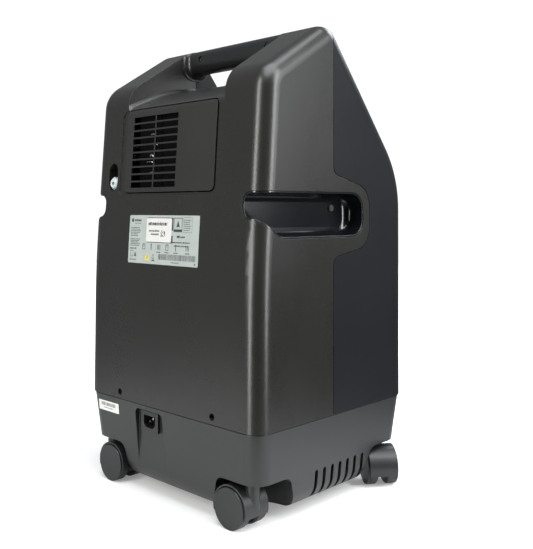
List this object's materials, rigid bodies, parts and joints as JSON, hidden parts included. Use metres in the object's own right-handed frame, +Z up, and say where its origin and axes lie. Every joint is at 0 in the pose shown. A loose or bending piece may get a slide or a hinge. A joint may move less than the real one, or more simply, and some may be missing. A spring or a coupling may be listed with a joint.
{
  "type": "oxygen concentrator",
  "caption": "Floor-standing oxygen concentrator with sloped twin-pillar cabinet, carrying handle, side handholds, rear filter panel and swivel casters.",
  "frame": {"origin": "on the floor under the middle of the bounding box", "axes": "+Z up; the control console faces -Y; the rear panel and mains inlet face +Y; +X to the right seen from the front"},
  "size_m": [0.3796, 0.304, 0.622],
  "materials": {
    "rear_plastic": "fine-textured moulded",
    "front_plastic": "fine-textured moulded",
    "base_plastic": "fine-textured moulded",
    "handle_plastic": "fine-textured moulded",
    "liner_plastic": "polished",
    "panel_plastic": "fine-textured moulded",
    "screw_steel": "zinc plated",
    "label_film": "satin film",
    "sticker_film": "satin film",
    "inlet_plastic": "semi gloss",
    "port_plastic": "translucent white",
    "console_plastic": "satin",
    "switch_plastic": "gloss",
    "clear_plastic": "polished clear",
    "float_steel": "polished ball",
    "knob_plastic": "fluted",
    "breaker_plastic": "semi gloss",
    "button_plastic": "semi gloss",
    "outlet_metal": "nickel plated",
    "light_plastic": "lenses",
    "meter_plastic": "gloss",
    "cast_metal": "cast",
    "shaft_steel": "ground",
    "fan_plastic": "moulded",
    "isolator_rubber": "moulded",
    "tray_steel": "powder coat",
    "bed_metal": "drawn",
    "tank_plastic": "moulded",
    "valve_plastic": "moulded",
    "coil_metal": "bent tube",
    "filter_foam": "open foam",
    "muffler_plastic": "moulded",
    "board_laminate": "solder mask",
    "capacitor_case": "drawn",
    "caster_plastic": "moulded nylon",
    "wheel_plastic": "moulded nylon",
    "caster_steel": "plated"
  },
  "bodies": {
    "root": {"base_tub": "base_plastic", "rear_shell": "rear_plastic", "front_shell": "front_plastic", "rear_panel": "panel_plastic", "handle_rear": "handle_plastic", "handle_front": "handle_plastic", "cover_screws": "screw_steel", "handhold_liner_left": "liner_plastic", "handhold_liner_right": "liner_plastic", "rating_label": "label_film", "inventory_label": "sticker_film", "power_inlet": "inlet_plastic", "auxiliary_port": "port_plastic", "control_console": "console_plastic", "flow_meter": "clear_plastic", "circuit_breaker": "breaker_plastic", "oxygen_outlet": "outlet_metal", "status_lights": "light_plastic", "hour_meter": "meter_plastic", "compressor_body": "cast_metal", "cylinder_heads": "cast_metal", "rubber_mounts": "isolator_rubber", "chassis_tray": "tray_steel", "sieve_bed_left": "bed_metal", "sieve_bed_right": "bed_metal", "product_tank": "tank_plastic", "valve_block": "valve_plastic", "cooling_coil": "coil_metal", "intake_filter": "filter_foam", "exhaust_muffler": "muffler_plastic", "circuit_board": "board_laminate", "start_capacitor": "capacitor_case", "caster_rear_left_stem": "caster_steel", "caster_rear_right_stem": "caster_steel", "caster_front_left_stem": "caster_steel", "caster_front_right_stem": "caster_steel"},
    "crank": {"crankshaft": "shaft_steel", "cooling_fan": "fan_plastic"},
    "left_piston": {"piston_left": "cast_metal"},
    "right_piston": {"piston_right": "cast_metal"},
    "knob": {"flow_knob": "knob_plastic"},
    "rocker": {"power_switch": "switch_plastic"},
    "float": {"flow_float": "float_steel"},
    "button": {"breaker_button": "button_plastic"},
    "caster_rear_left": {"caster_rear_left_hood": "caster_plastic", "caster_rear_left_axle": "caster_steel"},
    "wheel_rear_left_inner": {"caster_rear_left_wheel_inner": "wheel_plastic"},
    "wheel_rear_left_outer": {"caster_rear_left_wheel_outer": "wheel_plastic"},
    "caster_rear_right": {"caster_rear_right_hood": "caster_plastic", "caster_rear_right_axle": "caster_steel"},
    "wheel_rear_right_inner": {"caster_rear_right_wheel_inner": "wheel_plastic"},
    "wheel_rear_right_outer": {"caster_rear_right_wheel_outer": "wheel_plastic"},
    "caster_front_left": {"caster_front_left_hood": "caster_plastic", "caster_front_left_axle": "caster_steel"},
    "wheel_front_left_inner": {"caster_front_left_wheel_inner": "wheel_plastic"},
    "wheel_front_left_outer": {"caster_front_left_wheel_outer": "wheel_plastic"},
    "caster_front_right": {"caster_front_right_hood": "caster_plastic", "caster_front_right_axle": "caster_steel"},
    "wheel_front_right_inner": {"caster_front_right_wheel_inner": "wheel_plastic"},
    "wheel_front_right_outer": {"caster_front_right_wheel_outer": "wheel_plastic"}
  },
  "joints": [
    {"name": "rear_left_swivel", "type": "hinge", "parent": "root", "child": "caster_rear_left", "pos_m": [-0.14, 0.1275, 0.045], "axis": [0, 0, 1], "continuous": true},
    {"name": "rear_left_inner_roll", "type": "hinge", "parent": "caster_rear_left", "child": "wheel_rear_left_inner", "pos_m": [-0.12, 0.1275, 0.025], "axis": [0, -1, 0], "continuous": true},
    {"name": "rear_left_outer_roll", "type": "hinge", "parent": "caster_rear_left", "child": "wheel_rear_left_outer", "pos_m": [-0.12, 0.1275, 0.025], "axis": [0, -1, 0], "continuous": true},
    {"name": "rear_right_swivel", "type": "hinge", "parent": "root", "child": "caster_rear_right", "pos_m": [0.14, 0.1275, 0.045], "axis": [0, 0, 1], "continuous": true},
    {"name": "rear_right_inner_roll", "type": "hinge", "parent": "caster_rear_right", "child": "wheel_rear_right_inner", "pos_m": [0.12, 0.1275, 0.025], "axis": [0, 1, 0], "continuous": true},
    {"name": "rear_right_outer_roll", "type": "hinge", "parent": "caster_rear_right", "child": "wheel_rear_right_outer", "pos_m": [0.12, 0.1275, 0.025], "axis": [0, 1, 0], "continuous": true},
    {"name": "front_left_swivel", "type": "hinge", "parent": "root", "child": "caster_front_left", "pos_m": [-0.14, -0.121, 0.045], "axis": [0, 0, 1], "continuous": true},
    {"name": "front_left_inner_roll", "type": "hinge", "parent": "caster_front_left", "child": "wheel_front_left_inner", "pos_m": [-0.15576, -0.10869, 0.025], "axis": [0.6157, 0.788, 0], "continuous": true},
    {"name": "front_left_outer_roll", "type": "hinge", "parent": "caster_front_left", "child": "wheel_front_left_outer", "pos_m": [-0.15576, -0.10869, 0.025], "axis": [0.6157, 0.788, 0], "continuous": true},
    {"name": "front_right_swivel", "type": "hinge", "parent": "root", "child": "caster_front_right", "pos_m": [0.14, -0.121, 0.045], "axis": [0, 0, 1], "continuous": true},
    {"name": "front_right_inner_roll", "type": "hinge", "parent": "caster_front_right", "child": "wheel_front_right_inner", "pos_m": [0.15576, -0.10869, 0.025], "axis": [0.6157, -0.788, 0], "continuous": true},
    {"name": "front_right_outer_roll", "type": "hinge", "parent": "caster_front_right", "child": "wheel_front_right_outer", "pos_m": [0.15576, -0.10869, 0.025], "axis": [0.6157, -0.788, 0], "continuous": true},
    {"name": "crank_spin", "type": "hinge", "parent": "root", "child": "crank", "pos_m": [0, 0.02, 0.15], "axis": [1, 0, 0], "continuous": true},
    {"name": "left_piston_stroke", "type": "slide", "parent": "root", "child": "left_piston", "axis": [0, 0, 1], "range_m": [-0.004, 0.004]},
    {"name": "right_piston_stroke", "type": "slide", "parent": "root", "child": "right_piston", "axis": [0, 0, 1], "range_m": [-0.004, 0.004]},
    {"name": "flow_knob_turn", "type": "hinge", "parent": "root", "child": "knob", "pos_m": [-0.042, -0.09719, 0.4835], "axis": [0, -0.774, 0.6332], "range_deg": [0, 990]},
    {"name": "power_rocker_tilt", "type": "hinge", "parent": "root", "child": "rocker", "pos_m": [0.042, -0.0846, 0.49257], "axis": [1, 0, 0], "range_deg": [-14, 0]},
    {"name": "float_rise", "type": "slide", "parent": "root", "child": "float", "axis": [0, 0.6332, 0.774], "range_m": [0, 0.066]},
    {"name": "breaker_trip", "type": "slide", "parent": "root", "child": "button", "axis": [0, -0.774, 0.6332], "range_m": [0, 0.004]}
  ]
}
